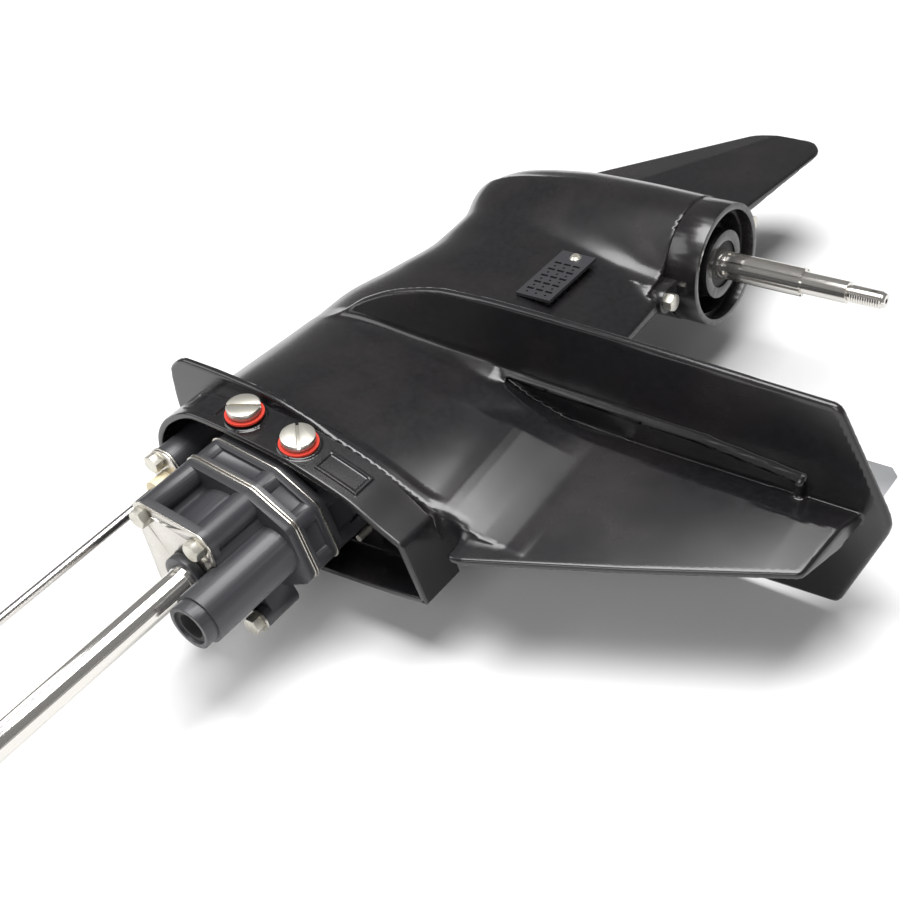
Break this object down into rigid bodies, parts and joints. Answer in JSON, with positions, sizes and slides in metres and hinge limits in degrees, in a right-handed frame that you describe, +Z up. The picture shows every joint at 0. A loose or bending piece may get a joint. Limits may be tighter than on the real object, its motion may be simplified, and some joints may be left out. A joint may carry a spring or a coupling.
{
  "type": "outboard lower unit",
  "caption": "Outboard motor lower unit: cast gearcase with skeg and anti-ventilation plate, water pump, drive shaft, shift rod, bevel gears and splined propeller shaft.",
  "frame": {"origin": "drive-shaft axis in the plane of the deck rim", "axes": "+X aft along the propeller shaft, +Y starboard, +Z up along the drive shaft"},
  "size_m": [0.396, 0.1416, 0.8],
  "materials": {
    "painted_casting": "gloss",
    "moulded_black": "satin",
    "stainless": "satin",
    "bolt_steel": "satin",
    "polished_shaft": "polished",
    "shift_rod_steel": "polished",
    "gear_steel": "ground",
    "red_gasket": "matte",
    "black_rubber": "matte",
    "brown_gasket": "matte",
    "cream_plastic": "matte",
    "bronze_bush": "machined",
    "anode_silver": "painted"
  },
  "bodies": {
    "case": {"gearcase_housing": "painted_casting", "deck_screws": "bolt_steel", "deck_screw_gaskets": "red_gasket", "deck_dowels": "bolt_steel", "bearing_carrier": "painted_casting", "carrier_bolts": "bolt_steel", "carrier_o_ring": "black_rubber", "prop_shaft_seals": "black_rubber", "prop_shaft_bush": "bronze_bush", "forward_gear_bearing": "gear_steel", "reverse_gear_bearing": "gear_steel", "drive_shaft_bearing": "gear_steel", "drive_shaft_lower_bearing": "gear_steel", "drive_shaft_seals": "black_rubber", "pump_base": "moulded_black", "pump_lower_plate": "stainless", "pump_lower_housing": "moulded_black", "pump_guide_plate": "stainless", "pump_gasket": "brown_gasket", "pump_wear_plate": "stainless", "pump_housing": "moulded_black", "pump_cup": "stainless", "pump_top_plate": "stainless", "shaft_collar": "moulded_black", "pump_bolts": "bolt_steel", "pump_ear_washer": "stainless", "pump_ear_bolt": "bolt_steel", "outlet_grommet": "black_rubber", "shift_seal_housing": "moulded_black", "shift_plates": "stainless", "shift_bolts": "bolt_steel", "shift_bush": "cream_plastic", "intake_screen_starboard": "stainless", "intake_screen_port": "stainless", "intake_screws": "bolt_steel", "trim_tab_bolt": "bolt_steel"},
    "drive_train": {"drive_shaft": "polished_shaft", "pinion_gear": "gear_steel", "pinion_nut": "gear_steel", "impeller": "black_rubber", "impeller_key": "bolt_steel"},
    "forward_wheel": {"forward_gear": "gear_steel"},
    "reverse_wheel": {"reverse_gear": "gear_steel"},
    "propeller_shaft": {"prop_shaft": "polished_shaft"},
    "clutch": {"clutch_dog": "gear_steel", "cross_pin": "shift_rod_steel", "shift_plunger": "shift_rod_steel"},
    "shift": {"shift_rod": "shift_rod_steel"},
    "tab": {"trim_tab": "anode_silver"}
  },
  "joints": [
    {"name": "drive_shaft_spin", "type": "hinge", "parent": "case", "child": "drive_train", "pos_m": [0, 0, 0], "axis": [0, 0, 1], "continuous": true},
    {"name": "forward_gear_spin", "type": "hinge", "parent": "case", "child": "forward_wheel", "pos_m": [0, 0, -0.307], "axis": [1, 0, 0], "continuous": true},
    {"name": "reverse_gear_spin", "type": "hinge", "parent": "case", "child": "reverse_wheel", "pos_m": [0, 0, -0.307], "axis": [1, 0, 0], "continuous": true},
    {"name": "prop_shaft_spin", "type": "hinge", "parent": "case", "child": "propeller_shaft", "pos_m": [0, 0, -0.307], "axis": [1, 0, 0], "continuous": true},
    {"name": "clutch_slide", "type": "slide", "parent": "propeller_shaft", "child": "clutch", "axis": [1, 0, 0], "range_m": [-0.005, 0.005]},
    {"name": "shift_rod_slide", "type": "slide", "parent": "case", "child": "shift", "axis": [0, 0, 1], "range_m": [-0.005, 0.005]},
    {"name": "trim_tab_turn", "type": "hinge", "parent": "case", "child": "tab", "pos_m": [0.247, 0, -0.14], "axis": [0, 0, 1], "range_deg": [-20, 20]}
  ],
  "couplings": [
    {"joint": "drive_shaft_spin", "follows": "forward_gear_spin", "ratio": 2.0769},
    {"joint": "reverse_gear_spin", "follows": "forward_gear_spin", "ratio": -1},
    {"joint": "clutch_slide", "follows": "shift_rod_slide", "ratio": -1}
  ]
}
